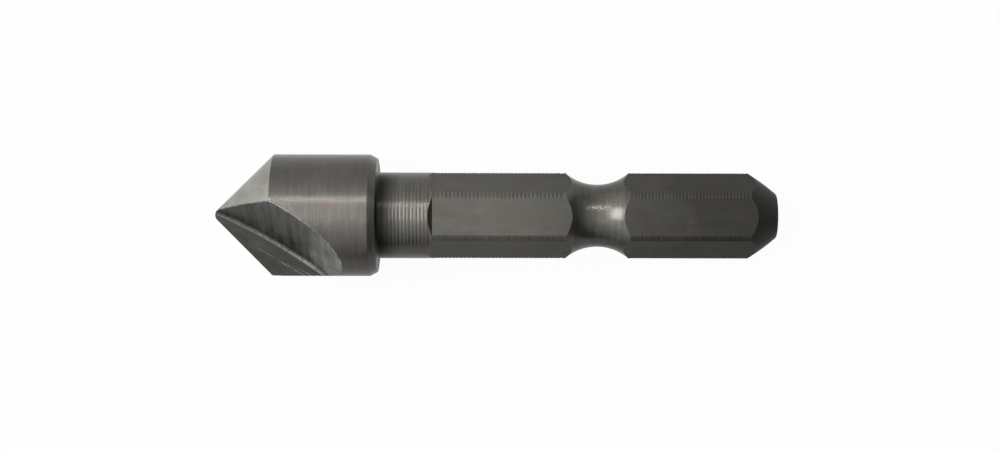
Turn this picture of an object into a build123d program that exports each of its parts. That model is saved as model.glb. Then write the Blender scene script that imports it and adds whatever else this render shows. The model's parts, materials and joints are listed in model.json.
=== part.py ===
# Single-flute 90 degree countersink on a quick-change hex shank, in millimetres, +Z up.
# The bit is turned and milled from one bar. It is modelled along +X, nose first, and then laid
# down as it comes to rest: on the back edge of its head and the end of one shank flat.
import os
from math import atan2, cos, degrees, radians, sin, sqrt, tan

from build123d import *

# Cutting head
head_diameter = 10.0
head_length = 13.4  # nose to back face
head_chamfer_length = 0.62  # along the axis, at the back edge of the head
head_chamfer_height = 0.33
point_angle = 90.0  # included angle of the cone
nose_diameter = 0.5  # the blunt tip of the cone
point_relief = 0.28  # fall of the cone behind its cutting edge, over one turn, at the head's rim

# Flute: its wall is the trace of a large disc cutter, and its floor is the rake face
flute_cutter_diameter = 100.0
flute_wall_tilt = 33.7  # lean of the wall from square to the rake face
flute_offset = 0.27  # how far past the axis the wall starts, at the nose
flute_length = 9.3  # nose to the end of the flute, measured on the rake face at the rim
flute_root_radius = 0.3
flute_turn = 1.9  # rake face against the nearest pair of shank flats

# Neck and shank
neck_diameter = 7.06
neck_length = 4.55  # back face of the head to the foot of the flats
shank_diameter = 7.02  # over the narrow lands that the flats leave
shank_across_flats = 6.3
flat_runout_angle = 45.0  # ramp that each flat ends in, at the neck
groove_radius = 4.0
groove_diameter = 5.1  # at the bottom of the ball groove
groove_from_end = 14.7
end_chamfer_length = 2.35
end_chamfer_crown = 0.06  # the end chamfer bulges this much over a straight one
end_face_diameter = 3.6
overall_length = 46.1

# How far cutters and waste solids run past the work
overrun = 2.0

# Worked out from the sizes above
head_radius = head_diameter / 2
shank_radius = shank_diameter / 2
flats_start = head_length + neck_length
flat_height = shank_across_flats / 2
apex_x = -nose_diameter / 2 / tan(radians(point_angle / 2))


def turned_blank():
    """The bar as it leaves the lathe: head, neck, round shank, ball groove and crowned end."""
    lands_end = (overall_length - end_chamfer_length, shank_radius)
    end_rim = (overall_length, end_face_diameter / 2)
    with BuildPart() as blank:
        with BuildSketch(Plane.XZ):
            with BuildLine():
                Polyline(
                    end_rim,
                    (overall_length, 0),
                    (0, 0),
                    (0, head_radius),
                    (head_length - head_chamfer_length, head_radius),
                    (head_length, head_radius - head_chamfer_height),
                    (head_length, neck_diameter / 2),
                    (flats_start, neck_diameter / 2),
                    (flats_start, shank_radius),
                    lands_end,
                )
                SagittaArc(lands_end, end_rim, end_chamfer_crown)
            make_face()
            groove_height = groove_diameter / 2 + groove_radius
            with Locations((overall_length - groove_from_end, groove_height)):
                Circle(groove_radius, mode=Mode.SUBTRACT)
        revolve(axis=Axis.X)
    return blank.part


def shank_flats():
    """Waste over the six flats; each flat runs out in a ramp where it meets the neck."""
    depth = neck_diameter / 2 - flat_height + overrun
    ramp = depth / tan(radians(flat_runout_angle))
    with BuildPart() as waste:
        with BuildSketch(Plane.XZ) as side:
            with BuildLine():
                Polyline(
                    (flats_start, flat_height),
                    (flats_start - ramp, flat_height + depth),
                    (overall_length + overrun, flat_height + depth),
                    (overall_length + overrun, flat_height),
                    close=True,
                )
            make_face()
        extrude(side.sketch, amount=head_radius, both=True)
    return [Rot(X=60 * turn) * waste.part for turn in range(6)]


def relieved_point():
    """The cone, which falls back evenly from the cutting edge so that only the edge touches."""
    reach = head_radius / tan(radians(point_angle / 2)) + overrun
    edge_radius = reach * tan(radians(point_angle / 2))
    fall = point_relief * edge_radius / head_radius
    lead = 10.0  # the spiral starts ahead of the cutting edge, in the flute
    steps = 24
    spiral = []
    for step in range(steps + 1):
        behind = 360 * step / steps
        radius = edge_radius - fall * (behind - lead) / 360
        angle = radians(behind - lead)
        spiral.append(Vector(apex_x + reach, -radius * cos(angle), -radius * sin(angle)))
    rim = Wire([Spline(*spiral), Line(spiral[-1], spiral[0])])
    return Solid.make_loft([Vertex(apex_x, 0, 0), rim], ruled=True)


def point_waste():
    """What the grinding of the cone takes off the front of the turned head."""
    reach = head_radius / tan(radians(point_angle / 2)) + overrun
    front = Plane(origin=(apex_x - overrun, 0, 0), z_dir=(1, 0, 0))
    stock = extrude(front * Circle(head_radius + overrun / 2), reach + overrun)
    return stock - relieved_point()


def flute_cutter():
    """The flute's own shape: a disc cutter's sweep, stopped at the rake face, with a soft root."""
    tilt = radians(flute_wall_tilt)
    cutter_radius = flute_cutter_diameter / 2
    across = Plane(origin=(0, 0, 0), x_dir=(1, 0, 0), z_dir=(0, sin(tilt), cos(tilt)))
    nose_point = Vector(0, flute_offset)
    end_point = Vector(flute_length, -head_radius * cos(tilt))
    chord = end_point - nose_point
    rise = sqrt(cutter_radius**2 - (chord.length / 2) ** 2)
    middle = (nose_point + end_point) / 2
    centre = middle + Vector(chord.Y, -chord.X).normalized() * rise
    disc = across * Pos(centre.X, centre.Y) * Circle(cutter_radius)
    sweep = extrude(disc, head_diameter, both=True)
    room = Pos(-overrun, 0, 0) * Box(
        head_length + overrun,
        head_diameter * 2,
        head_diameter,
        align=(Align.MIN, Align.CENTER, Align.MIN),
    )
    cutter = sweep & room
    wall = cutter.faces().filter_by(GeomType.CYLINDER)
    floor = cutter.faces().sort_by(Axis.Z)[:1]
    root = [edge for edge in wall.edges() if edge in floor.edges()]
    return fillet(root, flute_root_radius)


def laid_down(part):
    """The bit tipped so that its head and the end of its lower flat touch the surface, at Z = 0."""
    head_contact = head_length - head_chamfer_length
    lower_flats = part.faces().filter_by(Plane.XY).group_by(Axis.Z)[0]
    flat_contact = lower_flats.sort_by(Axis.X)[-1].bounding_box().max.X
    tip_up = degrees(atan2(head_radius - flat_height, flat_contact - head_contact))
    part = Rot(Y=tip_up) * part
    box = part.bounding_box()
    return Pos(-box.center().X, -box.center().Y, -box.min.Z) * part


bit = turned_blank() - shank_flats()
bit -= Rot(X=-flute_turn) * point_waste()
bit -= Rot(X=-flute_turn) * flute_cutter()
bit = laid_down(bit)

os.makedirs("parts", exist_ok=True)
export_step(bit, "parts/countersink_bit.step")
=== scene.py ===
import json
from math import atan2, cos, degrees, hypot, pi, radians, sin, sqrt, tan

import bmesh
import bpy
from mathutils import Matrix, Vector


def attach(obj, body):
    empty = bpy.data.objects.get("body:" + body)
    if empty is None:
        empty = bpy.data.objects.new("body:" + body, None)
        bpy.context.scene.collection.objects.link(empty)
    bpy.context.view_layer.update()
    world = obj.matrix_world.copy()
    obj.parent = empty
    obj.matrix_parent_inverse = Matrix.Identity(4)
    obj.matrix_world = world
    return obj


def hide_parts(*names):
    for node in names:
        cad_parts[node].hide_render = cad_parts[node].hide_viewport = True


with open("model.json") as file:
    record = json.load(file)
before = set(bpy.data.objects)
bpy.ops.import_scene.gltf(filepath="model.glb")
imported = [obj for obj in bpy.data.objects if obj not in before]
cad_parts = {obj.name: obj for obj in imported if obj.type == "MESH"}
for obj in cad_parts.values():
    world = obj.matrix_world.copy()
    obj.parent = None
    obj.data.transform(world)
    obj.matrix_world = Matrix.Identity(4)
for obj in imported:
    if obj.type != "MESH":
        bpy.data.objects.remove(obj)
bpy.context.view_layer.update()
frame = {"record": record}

# The bit's own frame: X along its axis from the nose, Z square to the upper flat, in millimetres
overallLength = 46.1
mounts = {mount["name"]: mount for mount in frame["record"]["mounts"]}
shankEnd = mounts["shank_end"]
alongBit = Vector(shankEnd["axis"]).normalized()
acrossBit = Vector((0, 1, 0))
upBit = alongBit.cross(acrossBit)
nosePoint = Vector(shankEnd["pos_m"]) - alongBit * overallLength / 1000
bitAxes = Matrix((alongBit, acrossBit, upBit)).transposed().to_4x4()
bitToRow = Matrix.Translation(nosePoint) @ bitAxes @ Matrix.Scale(0.001, 4)
rowToBit = bitToRow.inverted()
print("frame read, bit", overallLength, "mm long")


def node(tree, kind, inputs=None, **settings):  # an input is a value, or the socket that feeds it
    made = tree.nodes.new(kind)
    for key, value in settings.items():
        setattr(made, key, value)
    for key, value in (inputs or {}).items():
        if isinstance(value, bpy.types.NodeSocket):
            tree.links.new(value, made.inputs[key])
        else:
            made.inputs[key].default_value = value
    return made


def maths(tree, operation, first, second):
    return node(tree, "ShaderNodeMath", {0: first, 1: second}, operation=operation).outputs[0]


def ranged(tree, value, low, high, newLow, newHigh):  # low to high spread over the new range
    inputs = {"Value": value, "From Min": low, "From Max": high}
    inputs.update({"To Min": newLow, "To Max": newHigh})
    return node(tree, "ShaderNodeMapRange", inputs).outputs["Result"]


def mixed(tree, share, first, second, blend="MIX"):
    inputs = {0: share, 6: first, 7: second}
    return node(tree, "ShaderNodeMix", inputs, data_type="RGBA", blend_type=blend).outputs[2]


def dimmed(tree, color, level):  # the colour times a grey level
    grey = node(tree, "ShaderNodeCombineXYZ", {0: level, 1: level, 2: level}).outputs[0]
    return mixed(tree, 1.0, color, grey, "MULTIPLY")


def grain(tree, place, scale, detail=3.0, roughness=0.6, turn=(0, 0, 0), shift=(0, 0, 0)):
    # noise, stretched along the bit's axes by a scale per millimetre
    inputs = {"Vector": place, "Rotation": turn, "Location": shift}
    spot = node(tree, "ShaderNodeMapping", inputs, vector_type="POINT").outputs[0]
    stretched = node(tree, "ShaderNodeVectorMath", {0: spot, 1: scale}, operation="MULTIPLY")
    inputs = {"Vector": stretched.outputs[0], "Scale": 1.0}
    inputs.update({"Detail": detail, "Roughness": roughness})
    return node(tree, "ShaderNodeTexNoise", inputs).outputs["Fac"]


# The steel, with one look for each way a surface was made. Colours are what it reflects straight
# on. markScale is marks per millimetre along X, Y and Z. paler is where the colour starts and stops
# getting paler, in millimetres from the nose, and by how much. rearShade is the colour's share left
# at the rear. stain, lay and waver are strengths, and so is the painted shade on the neck behind
# the head.
looks = {
    "turned": {
        "light": (0.116, 0.110, 0.098), "dark": (0.091, 0.089, 0.080), "rough": (0.28, 0.38),
        "markScale": (6.0, 0.25, 0.25), "markDepth": 0.22, "bump": 0.25, "stain": 0.35,
        # the last strength here is the painted shade on the neck, in the corner behind the head
        "lay": 0.75, "waver": 1.0, "paintedShade": 0.93,
    },
    "milled": {
        "light": (0.086, 0.082, 0.072), "dark": (0.070, 0.069, 0.061), "rough": (0.34, 0.44),
        "markScale": (0.3, 3.0, 3.0), "markDepth": 0.10, "markDetail": 2.0, "bump": 0.08,
        "stain": 0.4, "rearShade": 0.39,
    },
    "fluteWall": {
        "light": (0.145, 0.144, 0.134), "dark": (0.088, 0.089, 0.082), "rough": (0.24, 0.38),
        "markScale": (2.2, 0.2, 0.2), "markDepth": 0.55, "bump": 0.5, "paler": (6.5, 9.2, 1.9),
    },
    "rake": {
        "light": (0.037, 0.037, 0.033), "dark": (0.025, 0.025, 0.022), "rough": (0.34, 0.46),
        "markScale": (0.3, 4.0, 1.0), "markTurn": (0, 0, radians(31)), "markDepth": 0.6,
        "markDetail": 4.0, "bump": 0.6,
    },
    "ground": {
        "light": (0.330, 0.324, 0.293), "dark": (0.250, 0.246, 0.221), "rough": (0.38, 0.46),
        "markScale": (2.0, 0.4, 0.4), "markDepth": 0.05, "markDetail": 2.0, "bump": 0.05,
        "stain": 0.1,
    },
    "formed": {
        "light": (0.142, 0.137, 0.121), "dark": (0.074, 0.073, 0.065), "rough": (0.18, 0.28),
        "markScale": (5.0, 0.3, 0.3), "markDepth": 0.25, "markDetail": 4.0, "bump": 0.15,
        "stain": 0.2, "rearShade": 0.6,
    },
    "fresh": {
        "light": (0.42, 0.41, 0.37), "dark": (0.20, 0.20, 0.18), "rough": (0.26, 0.42),
        "markScale": (4.0, 4.0, 4.0), "markDepth": 0.8, "markDetail": 4.0, "bump": 1.0,
    },
    "root": {
        "light": (0.105, 0.104, 0.096), "dark": (0.050, 0.049, 0.045), "rough": (0.28, 0.42),
        "markScale": (5.0, 3.5, 3.5), "markDepth": 0.6, "bump": 0.4, "paler": (3.0, 7.0, 1.6),
    },
    "end": {
        "light": (0.083, 0.082, 0.073), "dark": (0.063, 0.062, 0.056), "rough": (0.48, 0.58),
        "markScale": (4.0, 0.3, 0.3), "markDepth": 0.2, "markDetail": 4.0, "bump": 0.15,
        "stain": 0.1,
    },
}

# What every look shares: noise scales as above, heights in metres, places in mm from the nose
steelShared = {
    "smudgeScale": (0.35, 0.5, 0.5),
    "smudgeRough": (-0.04, 0.05),  # what a smudge takes off the roughness, or adds to it
    "smudgeReach": 4,  # how far smudges shift the darkening to the rear, either way
    "stainScale": (0.3, 0.45, 0.45),
    "stainShift": (3.1, 0.4, 1.7),
    "stainColor": (0.13, 0.085, 0.078, 1),  # a faint rust blush
    "markColor": (0.02, 0.02, 0.02, 1),
    "markHeight": 0.00004,
    "fineScale": (9, 9, 9),
    "fineBump": 0.12,
    "fineHeight": 0.00002,
    "waverScale": (1.6, 1.1, 1.1),
    "waverHeight": 0.000012,
    # Painted shade on the neck, in the corner behind the head: its colour, where it starts and
    # where it fades out
    "paintedShadeColor": (0.012, 0.012, 0.010, 1),
    "paintedShadeFrom": 13.415,  # just clear of the head's back face
    "paintedShadeFade": (13.9, 15.3),
    "rearFade": (24, 40),
    "rearShade": 0.5,
}


def steel(name, look, s):
    material = bpy.data.materials.new(name)
    material.use_nodes = True
    tree = material.node_tree
    shader = tree.nodes["Principled BSDF"].inputs
    shader["Metallic"].default_value = 1.0
    if look.get("lay"):  # turning marks run round the bar and stretch its highlights along it
        shader["Anisotropic"].default_value = look["lay"]
        shader["Anisotropic Rotation"].default_value = 0.25
        around = node(tree, "ShaderNodeTangent", direction_type="RADIAL", axis="X")
        tree.links.new(around.outputs[0], shader["Tangent"])

    # where a point is on the bit, and the noises there
    inputs = {"Vector": node(tree, "ShaderNodeTexCoord").outputs["Object"]}
    inputs.update({"Location": rowToBit.translation, "Rotation": rowToBit.to_euler()})
    inputs["Scale"] = (1000, 1000, 1000)
    place = node(tree, "ShaderNodeMapping", inputs, vector_type="POINT").outputs[0]
    along = node(tree, "ShaderNodeSeparateXYZ", {0: place}).outputs[0]
    markDetail, markTurn = look.get("markDetail", 3.0), look.get("markTurn", (0, 0, 0))
    smudge = grain(tree, place, s["smudgeScale"], 4.0)
    marks = grain(tree, place, look["markScale"], markDetail, turn=markTurn)
    fine = grain(tree, place, s["fineScale"], 2.0, 0.5)
    stain = grain(tree, place, s["stainScale"], 5.0, shift=s["stainShift"])

    # colour
    share = ranged(tree, smudge, 0.35, 0.65, 0, 1)
    color = mixed(tree, share, (*look["dark"], 1), (*look["light"], 1))
    share = ranged(tree, marks, 0.35, 0.62, look["markDepth"], 0)
    color = mixed(tree, share, color, s["markColor"])
    share = ranged(tree, stain, 0.56, 0.68, 0, look.get("stain", 0))
    color = mixed(tree, share, color, s["stainColor"])
    if look.get("paintedShade"):  # painted shade on the neck, in the corner behind the head
        behindHead = maths(tree, "GREATER_THAN", along, s["paintedShadeFrom"])
        fade = ranged(tree, along, *s["paintedShadeFade"], look["paintedShade"], 0)
        color = mixed(tree, maths(tree, "MULTIPLY", behindHead, fade), color, s["paintedShadeColor"])
    if look.get("paler"):
        start, stop, growth = look["paler"]
        color = dimmed(tree, color, ranged(tree, along, start, stop, 1.0, growth))
    drift = ranged(tree, smudge, 0.3, 0.7, -s["smudgeReach"], s["smudgeReach"])
    rearShade = look.get("rearShade", s["rearShade"])
    rear = ranged(tree, maths(tree, "ADD", drift, along), *s["rearFade"], 1.0, rearShade)
    tree.links.new(dimmed(tree, color, rear), shader["Base Color"])

    # roughness
    rough = ranged(tree, marks, 0.3, 0.7, *look["rough"])
    blur = ranged(tree, smudge, 0.3, 0.7, *s["smudgeRough"])
    tree.links.new(maths(tree, "ADD", rough, blur), shader["Roughness"])

    # bumps, each on top of the last
    layers = [(marks, look["bump"], s["markHeight"]), (fine, s["fineBump"], s["fineHeight"])]
    if look.get("waver"):  # slow unevenness, which frays long highlights
        waver = grain(tree, place, s["waverScale"], 2.0, 0.5)
        layers.append((waver, look["waver"], s["waverHeight"]))
    inputs = {}
    for height, strength, distance in layers:
        inputs.update({"Height": height, "Strength": strength, "Distance": distance})
        inputs["Normal"] = node(tree, "ShaderNodeBump", inputs).outputs[0]
    tree.links.new(inputs["Normal"], shader["Normal"])
    return material


finishes = [steel(name, look, steelShared) for name, look in looks.items()]
# the finishes' slots, in the order of looks
turned, milled, fluteWall, rake, ground, formed, fresh, root, end = range(len(finishes))
print("steel finishes", len(finishes))

# The countersink bit, in millimetres from its nose and from its axis
countersink = {
    "segments": 192,
    "sharpAngle": 22,  # degrees, edges below this are shaded smooth
    "headRadius": 5.0,
    "headLength": 13.4,
    "headChamfer": (0.62, 0.33),  # along and across
    "noseRadius": 0.25,
    "noseRound": 0.2,
    "rimRound": 0.12,  # where the cone meets the head's side
    "chamferRound": 0.04,
    "pointRelief": 0.28,  # fall of the cone behind its cutting edge, over one turn
    "reliefLead": 11,  # degrees, the fall starts this far ahead of the edge, in the flute
    "rimShift": 0.2,  # the rim moves back as the cone falls, and drags this much of the side
    "fluteCutterRadius": 50.0,
    "fluteWallTilt": 33.7,  # degrees
    "fluteOffset": 0.27,
    "fluteLength": 9.3,
    "fluteRoot": 0.48,
    "fluteTurn": 1.9,  # degrees, rake face against the flats
    "brokenEdge": 0.045,  # narrow flat along the flute's outer edges
    "neckRadius": 3.53,
    "neckEnd": 17.95,
    "neckFillet": 0.22,
    "shankRadius": 3.51,
    "flatHeight": 3.15,
    "grooveAt": 31.4,
    "grooveRadius": 4.0,
    "grooveBottom": 2.55,
    "grooveSteps": 32,
    "landsEnd": 43.75,
    "endCrown": 0.06,
    "endRadius": 1.8,
    "endRound": 0.06,
    "neckRings": (0.295, 0.022, 0.45),  # pitch, depth, share of flat crest
    "frontRings": (0.32, 0.04, 0.12),
    "rearRings": (0.275, 0.04, 0.12),
    "landWear": (1.0, 0.9, 0.7, 1.0, 0.8, 0.5),  # how deep the rings still are on each land
    # scratches on the rake face, which nick the cutting edge: start and end (x, y), depth
    "rakeScratches": [
        ((1.6, -1.55), (7.35, -5.02), 0.035),
        ((5.0, -3.3), (7.5, -5.15), 0.03),
        ((6.4, -4.1), (8.1, -5.12), 0.04),
        ((7.3, -4.45), (8.7, -5.12), 0.035),
    ],
    "scratchHalfWidth": 0.08,
    # dents in the head and at the corner of the cutting edge: centre, half sizes
    "dents": [
        ((10.6, 5.02, 0.3), (0.42, 0.07, 0.8)),
        ((5.0, -5.06, 0.2), (0.55, 0.13, 0.35)),
    ],
}


def roundedCorner(before, corner, after, size, steps=3):  # starts and ends size from the corner
    corner = Vector(corner)
    a = corner + (Vector(before) - corner).normalized() * size
    b = corner + (Vector(after) - corner).normalized() * size
    spots = []
    for step in range(steps + 1):
        part = step / steps
        spot = a * (1 - part) ** 2 + corner * 2 * part * (1 - part) + b * part**2
        spots.append((spot.x, spot.y))
    return spots


def rings(start, stop, radius, pitch, depth, crest):  # a flat crest, then a shallow groove, again
    rows = []
    for turn in range(int((stop - start) / pitch)):
        at = start + turn * pitch
        uneven = 0.75 + 0.5 * (turn * 0.618 % 1)
        rows.append((at, radius))
        rows.append((at + crest * pitch, radius))
        rows.append((at + (0.5 + crest / 2) * pitch, radius - depth * uneven))
    return rows


def grooveReach(s):  # half the ball groove's length, at the lands
    high = s["grooveBottom"] + s["grooveRadius"]
    return sqrt(s["grooveRadius"] ** 2 - (high - s["shankRadius"]) ** 2)


def headProfile(s):  # (from the nose, from the axis), nose to neck
    head, neck, back, nose = s["headRadius"], s["neckRadius"], s["headLength"], s["noseRadius"]
    coneEnd = head - nose
    rows = [(0, 0)] + roundedCorner((0, 0), (0, nose), (1, 1 + nose), s["noseRound"])
    rows += [(coneEnd * part, nose + coneEnd * part) for part in (0.1, 0.3, 0.5, 0.7, 0.9)]
    rows += roundedCorner((0, nose), (coneEnd, head), (8, head), s["rimRound"])
    rows += [(7.5, head), (10, head)]
    chamferStart = (back - s["headChamfer"][0], head)
    chamferEnd = (back, head - s["headChamfer"][1])
    rows += roundedCorner((10, head), chamferStart, chamferEnd, s["chamferRound"])
    rows += roundedCorner(chamferStart, chamferEnd, (back, neck), s["chamferRound"])
    rows += [(back, 4.3)]
    return rows + roundedCorner((back, 4.2), (back, neck), (15, neck), s["neckFillet"], 5)


def shankProfile(s):  # neck to end
    neck, shank, neckEnd = s["neckRadius"], s["shankRadius"], s["neckEnd"]
    high, reach = s["grooveBottom"] + s["grooveRadius"], grooveReach(s)
    rows = rings(s["headLength"] + 0.8, neckEnd - 0.02, neck, *s["neckRings"])
    rows += [(neckEnd, neck), (neckEnd + 0.03, shank)]
    rows += rings(neckEnd + 0.06, s["grooveAt"] - reach, shank, *s["frontRings"])
    for step in range(s["grooveSteps"] + 1):
        x = -reach * cos(pi * step / s["grooveSteps"])
        rows.append((s["grooveAt"] + x, high - sqrt(s["grooveRadius"] ** 2 - x * x)))
    rows += rings(s["grooveAt"] + reach + 0.03, s["landsEnd"] - 0.05, shank, *s["rearRings"])
    rows += [(s["landsEnd"], shank)]
    start, stop = Vector((s["landsEnd"], shank)), Vector((overallLength, s["endRadius"]))
    bulge = Vector((start.y - stop.y, stop.x - start.x)).normalized() * s["endCrown"]
    for step in range(1, 8):
        part = step / 8
        spot = start.lerp(stop, part) + bulge * 4 * part * (1 - part)
        rows.append((spot.x, spot.y))
    rows += roundedCorner(rows[-1], stop, (overallLength, 0), s["endRound"])
    return rows + [(overallLength, 0)]


def meshFrom(bm, name):  # a mesh with a slot for each finish
    bmesh.ops.recalc_face_normals(bm, faces=bm.faces)
    mesh = bpy.data.meshes.new(name)
    bm.to_mesh(mesh)
    bm.free()
    for finish in finishes:
        mesh.materials.append(finish)
    return mesh


def finishAll(bm, slot):
    for face in bm.faces:
        face.material_index = slot


def only(parts, kind):  # the verts or the edges among an operator's results
    return [part for part in parts if isinstance(part, kind)]


def finishBlank(bm, s):  # a slot for each stretch of the bar; the rest stays turned
    for face in bm.faces:
        middle = face.calc_center_median()
        sunk = s["shankRadius"] - hypot(middle.y, middle.z)
        if middle.x < s["headRadius"] - s["noseRadius"] - 0.05:
            face.material_index = ground
        elif middle.x > s["landsEnd"]:
            face.material_index = end
        elif abs(middle.x - s["grooveAt"]) < grooveReach(s) and sunk > s["frontRings"][1]:
            face.material_index = formed


def wearLands(bm, s):  # each land has its rings worn off by its own share
    deepest = 1.3 * s["frontRings"][1]
    clearOfGroove = grooveReach(s) + 0.15
    for vert in bm.verts:
        x, y, z = vert.co
        radius = hypot(y, z)
        sunk = s["shankRadius"] - radius
        onLands = x > s["neckEnd"] + 0.05 and abs(x - s["grooveAt"]) > clearOfGroove
        if onLands and 0 < sunk < deepest:
            kept = s["landWear"][int(degrees(atan2(y, z)) % 360 / 60)]
            grow = (s["shankRadius"] - sunk * kept) / radius
            vert.co = (x, y * grow, z * grow)


def relievePoint(bm, s):  # the cone falls back evenly from its cutting edge
    full = s["headRadius"] - s["noseRadius"]
    for vert in bm.verts:
        x, y, z = vert.co
        radius = hypot(y, z)
        if x > full + s["rimShift"] or radius < 1e-6:
            continue
        behind = (degrees(atan2(-z, -y)) - s["fluteTurn"]) % 360
        if behind > 360 - s["reliefLead"]:
            behind -= 360
        shrink = 1 - s["pointRelief"] / s["headRadius"] * behind / 360
        rim = s["headRadius"] / shrink - s["noseRadius"]
        if x <= full:
            moved = x * rim / full
            wanted = (moved + radius - x) * shrink
            vert.co = (moved, y * wanted / radius, z * wanted / radius)
        else:
            vert.co.x = x + (rim - full) * (full + s["rimShift"] - x) / s["rimShift"]


def turnedBlank(s):
    bm = bmesh.new()
    dots = [bm.verts.new((x, 0, r)) for x, r in headProfile(s) + shankProfile(s)]
    line = [bm.edges.new(pair) for pair in zip(dots, dots[1:])]
    bmesh.ops.spin(
        bm, geom=dots + line, cent=(0, 0, 0), axis=(1, 0, 0), angle=2 * pi,
        steps=s["segments"], use_merge=True,
    )
    bmesh.ops.remove_doubles(bm, verts=bm.verts, dist=1e-5)
    finishBlank(bm, s)
    wearLands(bm, s)
    relievePoint(bm, s)
    return meshFrom(bm, "turnedBlank")


def hexKeep(s):  # what milling the flats leaves: a hexagon that opens out at 45 degrees to the head
    length = overallLength + 2 - s["neckEnd"]
    corner = s["flatHeight"] / cos(pi / 6)
    place = Matrix.Translation((s["neckEnd"] + length / 2, 0, 0)) @ Matrix.Rotation(pi / 2, 4, "Y")
    bm = bmesh.new()
    bmesh.ops.create_cone(
        bm, cap_ends=True, segments=6, radius1=corner, radius2=corner, depth=length, matrix=place,
    )
    front = min(bm.faces, key=lambda face: face.calc_center_median().x)
    made = bmesh.ops.extrude_face_region(bm, geom=[front])["geom"]
    bmesh.ops.delete(bm, geom=[front], context="FACES_ONLY")
    rim = only(made, bmesh.types.BMVert)
    reach = s["neckEnd"] + 1
    growth = (s["flatHeight"] + reach) / s["flatHeight"]
    bmesh.ops.translate(bm, verts=rim, vec=(-reach, 0, 0))
    bmesh.ops.scale(bm, verts=rim, vec=(1, growth, growth))
    finishAll(bm, milled)
    return meshFrom(bm, "hexKeep")


def fluteCutter(s):  # a disc cutter's sweep above the rake face, with a soft root
    lean, size = radians(s["fluteWallTilt"]), s["fluteCutterRadius"]
    start = Vector((0, s["fluteOffset"], 0))
    stop = Vector((s["fluteLength"], -s["headRadius"] * cos(lean), 0))
    chord = stop - start
    rise = sqrt(size**2 - (chord.length / 2) ** 2)
    centre = (start + stop) / 2 + Vector((chord.y, -chord.x, 0)).normalized() * rise
    before, after = 2.0 / size, 3.5 / size  # the sweep runs this far past both ends
    sweep = 2 * atan2(chord.length / 2, rise) + before + after
    bm = bmesh.new()
    dot = bm.verts.new(centre + Matrix.Rotation(before, 3, "Z") @ (start - centre))
    made = bmesh.ops.spin(bm, geom=[dot], cent=centre, axis=(0, 0, 1), angle=-sweep, steps=64)
    last = only(made["geom_last"], bmesh.types.BMVert)[0]
    inner = bm.verts.new((dot.co.x, last.co.y, 0))
    bm.edges.new((dot, inner))
    bm.edges.new((inner, last))
    outline = bmesh.ops.contextual_create(bm, geom=bm.edges[:])["faces"]
    made = bmesh.ops.extrude_face_region(bm, geom=outline)["geom"]
    bmesh.ops.translate(bm, verts=only(made, bmesh.types.BMVert), vec=(0, 0, 20))
    bmesh.ops.translate(bm, verts=bm.verts, vec=(0, 0, -10))
    bmesh.ops.rotate(bm, verts=bm.verts, cent=(0, 0, 0), matrix=Matrix.Rotation(-lean, 3, "X"))
    finishAll(bm, fluteWall)

    # nothing below the rake face is cut, and the root is softened where it meets the wall
    every = bm.verts[:] + bm.edges[:] + bm.faces[:]
    made = bmesh.ops.bisect_plane(
        bm, geom=every, plane_co=(0, 0, 0), plane_no=(0, 0, 1), clear_inner=True,
    )
    line = only(made["geom_cut"], bmesh.types.BMEdge)
    floor = bmesh.ops.contextual_create(bm, geom=line)["faces"][0]
    floor.material_index = rake
    bmesh.ops.recalc_face_normals(bm, faces=bm.faces)
    bend = [edge for edge in floor.edges if edge.calc_length() < 1]
    bmesh.ops.bevel(
        bm, geom=bend, offset=s["fluteRoot"] * tan((pi / 2 - lean) / 2), offset_type="OFFSET",
        segments=5, profile=0.5, affect="EDGES", material=root,
    )
    bm.transform(Matrix.Rotation(radians(-s["fluteTurn"]), 4, "X"))
    return meshFrom(bm, "fluteCutter")


def rakeScratch(s, start, stop, depth):  # a V that runs out through the cutting edge
    across = Vector((start[1] - stop[1], stop[0] - start[0])).normalized() * s["scratchHalfWidth"]
    bm = bmesh.new()
    bm.verts.new((start[0], start[1], 0.01))
    bm.verts.new((stop[0] + across.x, stop[1] + across.y, 0.02))
    bm.verts.new((stop[0] - across.x, stop[1] - across.y, 0.02))
    bm.verts.new((stop[0], stop[1], -depth))
    bmesh.ops.convex_hull(bm, input=bm.verts)
    finishAll(bm, fresh)
    bm.transform(Matrix.Rotation(radians(-s["fluteTurn"]), 4, "X"))
    return meshFrom(bm, "rakeScratch")


def dent(at, size):
    bm = bmesh.new()
    place = Matrix.Translation(at) @ Matrix.Diagonal((*size, 1))
    bmesh.ops.create_icosphere(bm, subdivisions=3, radius=1, matrix=place)
    return meshFrom(bm, "dent")


def makeObject(name, data):
    made = bpy.data.objects.new(name, data)
    bpy.context.scene.collection.objects.link(made)
    return made


def closeUp(mesh, sliver=5e-4):  # no slivers, and every gap that a cut left filled
    bm = bmesh.new()
    bm.from_mesh(mesh)
    bmesh.ops.remove_doubles(bm, verts=bm.verts, dist=sliver)
    bmesh.ops.dissolve_degenerate(bm, edges=bm.edges, dist=sliver)
    gaps = [edge for edge in bm.edges if edge.is_boundary]
    bmesh.ops.holes_fill(bm, edges=gaps, sides=0)
    bmesh.ops.recalc_face_normals(bm, faces=bm.faces)
    bm.to_mesh(mesh)
    bm.free()


def cut(mesh, tool, operation):  # a new mesh, after one Boolean with the tool's mesh
    work, cutter = makeObject("work", mesh), makeObject("cutter", tool)
    step = work.modifiers.new("cut", "BOOLEAN")
    step.operation, step.solver, step.object = operation, "MANIFOLD", cutter
    step.material_mode = "INDEX"
    graph = bpy.context.evaluated_depsgraph_get()
    result = bpy.data.meshes.new_from_object(work.evaluated_get(graph))
    bpy.data.objects.remove(work)
    bpy.data.objects.remove(cutter)
    return result


def volumeOf(mesh):  # nothing for a mesh that isn't closed
    bm = bmesh.new()
    bm.from_mesh(mesh)
    volume = bm.calc_volume() if all(edge.is_manifold for edge in bm.edges) else 0
    bm.free()
    return volume


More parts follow.
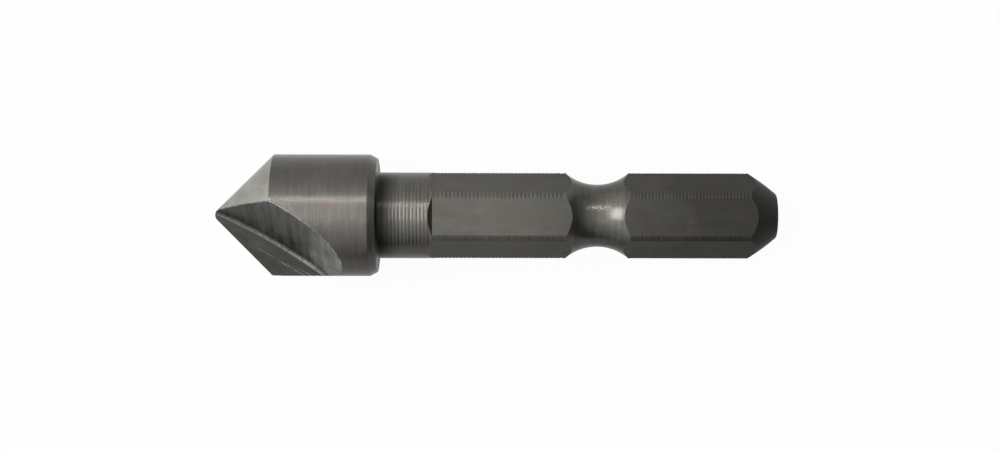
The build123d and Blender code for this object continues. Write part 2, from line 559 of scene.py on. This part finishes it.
def nick(mesh, tool, mostTaken=0.5):  # a small cut, left out if it takes too much or leaves a gap
    result = cut(mesh, tool, "DIFFERENCE")
    taken = volumeOf(mesh) - volumeOf(result)
    return result if abs(taken) < mostTaken else mesh


def breakEdges(mesh, width):  # a narrow flat along the flute's outer edges
    bm = bmesh.new()
    bm.from_mesh(mesh)
    chosen = []
    for edge in bm.edges:
        kinds = sorted(face.material_index for face in edge.link_faces)
        if kinds in ([turned, fluteWall], [fluteWall, ground]):
            chosen.append(edge)
    bmesh.ops.bevel(
        bm, geom=chosen, offset=width, offset_type="OFFSET", segments=1, profile=0.5,
        affect="EDGES", material=fresh, clamp_overlap=False,
    )
    bm.to_mesh(mesh)
    bm.free()
    closeUp(mesh)


mesh = turnedBlank(countersink)
print("turned blank", len(mesh.polygons))
mesh = cut(mesh, hexKeep(countersink), "INTERSECT")
print("flats milled", len(mesh.polygons))
mesh = cut(mesh, fluteCutter(countersink), "DIFFERENCE")
print("flute milled", len(mesh.polygons))
for at, size in countersink["dents"]:
    mesh = nick(mesh, dent(at, size))
for scratch in countersink["rakeScratches"]:
    mesh = nick(mesh, rakeScratch(countersink, *scratch))
breakEdges(mesh, countersink["brokenEdge"])
print("edges, dents and scratches", len(mesh.polygons))
mesh.transform(bitToRow)
mesh.shade_smooth()
mesh.set_sharp_from_angle(angle=radians(countersink["sharpAngle"]))
bit = makeObject("countersinkBit", mesh)
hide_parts("countersink_bit")
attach(bit, "root")
print("bit in place")

# Floor: white to the camera and in the steel, with the bit's own shadow kept. Away from the camera,
# its lower side is painted darker, a painted shadow of the bit. In the steel, the floor in front of
# the nose is painted brighter, a painted pool of light. A pair is for the floor's lower and its
# upper side, as the camera sees them. Lengths are in metres.
floorLook = {
    "halfSize": 1.5,
    "seen": 0.96,  # how much of it is plain white to the camera
    "shown": (0.20, 0.35),  # and in the steel, less on the lower side as a painted shadow
    "greyAndPaintedShadow": (0.30, 0.52),  # the paper's grey, darker on its lower side as a painted shadow, except to the camera
    "sides": (-0.01, 0.01),  # from one side's value to the other's
    "ahead": 0.45,  # added to shown in front of the nose, a painted pool of light seen in the steel
    "aheadFade": (-0.06, -0.028),
}
bm = bmesh.new()
bmesh.ops.create_grid(bm, x_segments=1, y_segments=1, size=floorLook["halfSize"])
floorMesh = bpy.data.meshes.new("floor")
bm.to_mesh(floorMesh)
bm.free()
floor = makeObject("floor", floorMesh)
paper = bpy.data.materials.new("paper")
paper.use_nodes = True
tree = paper.node_tree
tree.nodes.clear()
rays = node(tree, "ShaderNodeLightPath").outputs
place = node(tree, "ShaderNodeTexCoord").outputs["Object"]
spot = node(tree, "ShaderNodeSeparateXYZ", {0: place}).outputs
# the floor's side, left out for the camera, so the painted shadow on the lower side shows only away
# from it
side = maths(tree, "MULTIPLY", spot[1], maths(tree, "SUBTRACT", 1.0, rays["Is Camera Ray"]))
shown = ranged(tree, side, *floorLook["sides"], *floorLook["shown"])
# a painted pool of light in front of the nose, seen only in the steel
ahead = ranged(tree, spot[0], *floorLook["aheadFade"], floorLook["ahead"], 0)
mirrored = maths(tree, "MAXIMUM", rays["Is Glossy Ray"], rays["Is Transmission Ray"])
shown = maths(tree, "MULTIPLY", mirrored, maths(tree, "ADD", shown, ahead))
seen = maths(tree, "MULTIPLY", rays["Is Camera Ray"], floorLook["seen"])
# the paper's grey, with a painted shadow on its lower side
greyAndPaintedShadow = ranged(tree, side, *floorLook["sides"], *floorLook["greyAndPaintedShadow"])
plain = node(tree, "ShaderNodeBsdfDiffuse", {"Color": greyAndPaintedShadow}).outputs[0]
white = node(tree, "ShaderNodeEmission", {"Strength": 1.0}).outputs[0]
inputs = {0: maths(tree, "MAXIMUM", shown, seen), 1: plain, 2: white}
both = node(tree, "ShaderNodeMixShader", inputs).outputs[0]
node(tree, "ShaderNodeOutputMaterial", {"Surface": both})
floorMesh.materials.append(paper)
print("floor")

# Camera
view = {
    "lens": 70.2,  # mm
    "sensor": 36,  # mm
    "clipStart": 0.01,  # m
    "distance": 160.5,  # mm from the bit's axis
    "lookAt": 23.44,  # mm from the nose
    "below": 0.78,  # mm, how far the picture's middle lies below the axis
    "turn": 1.9,  # degrees round the axis, towards the upper side
    "roll": 0.12,  # degrees
}
turn = radians(view["turn"])
outward = Vector((0, sin(turn), cos(turn)))
upward = Vector((0, cos(turn), -sin(turn)))
target = Vector((view["lookAt"], 0, 0)) - upward * view["below"]
backAxis = (bitToRow.to_3x3() @ outward).normalized()
rolled = Matrix.Rotation(radians(view["roll"]), 3, backAxis)
topAxis = rolled @ (bitToRow.to_3x3() @ upward).normalized()
sideAxis = topAxis.cross(backAxis)
cameraData = bpy.data.cameras.new("camera")
cameraData.lens = view["lens"]
cameraData.sensor_width = view["sensor"]
cameraData.clip_start = view["clipStart"]
camera = makeObject("camera", cameraData)
camera.matrix_world = Matrix((sideAxis, topAxis, backAxis)).transposed().to_4x4()
camera.matrix_world.translation = bitToRow @ (target + outward * view["distance"])
bpy.context.scene.camera = camera
print("camera")

# Lamps: direction in the bit's frame, metres away, size in metres along and across, watts
lamps = {
    "strip": ((0, sin(radians(31)), cos(radians(31))), 0.6, (0.6, 0.006), 0.74),
    "above": ((-0.37, -0.05, 0.93), 0.6, (0.40, 0.50), 0.28),
    "left": ((-0.66, 0.12, 0.74), 0.6, (0.30, 0.34), 2.1),
}


def softLight(name, direction, distance, size, power):  # an area lamp aimed at the bit's middle
    data = bpy.data.lights.new(name, "AREA")
    data.shape = "RECTANGLE"
    data.size, data.size_y = size
    data.energy = power
    lamp = makeObject(name, data)
    middle = bitToRow @ Vector((overallLength / 2, 0, 0))
    away = (bitToRow.to_3x3() @ Vector(direction)).normalized()
    across = (alongBit - away * alongBit.dot(away)).normalized()
    lamp.matrix_world = Matrix((across, away.cross(across), away)).transposed().to_4x4()
    lamp.matrix_world.translation = middle + away * distance


for name, lamp in lamps.items():
    softLight(name, *lamp)
print("lamps", len(lamps))

# Room: paler to the left and above, darker to the right and below.
# For each gradient: the way it faces in the bit's frame, from and to (cosines), dark and pale
roomLights = [
    ((-0.80, 0.55, 0.10), (-0.7, 0.8), (0.18, 1.30)),
    ((-0.50, -0.10, 0.86), (0.25, 0.98), (0.0, 1.1)),
]
world = bpy.data.worlds.new("studio")
bpy.context.scene.world = world
world.use_nodes = True
room = world.node_tree
background = room.nodes["Background"].inputs
outwards = node(room, "ShaderNodeTexCoord").outputs["Generated"]
levels = []
for aim, span, strengths in roomLights:
    aim = (bitToRow.to_3x3() @ Vector(aim)).normalized()
    facing = node(room, "ShaderNodeVectorMath", {0: outwards, 1: aim}, operation="DOT_PRODUCT")
    levels.append(ranged(room, facing.outputs["Value"], *span, *strengths))
room.links.new(maths(room, "ADD", *levels), background["Strength"])
background["Color"].default_value = (1, 1, 1, 1)
bpy.context.scene.view_settings.view_transform = "Standard"
print("room")
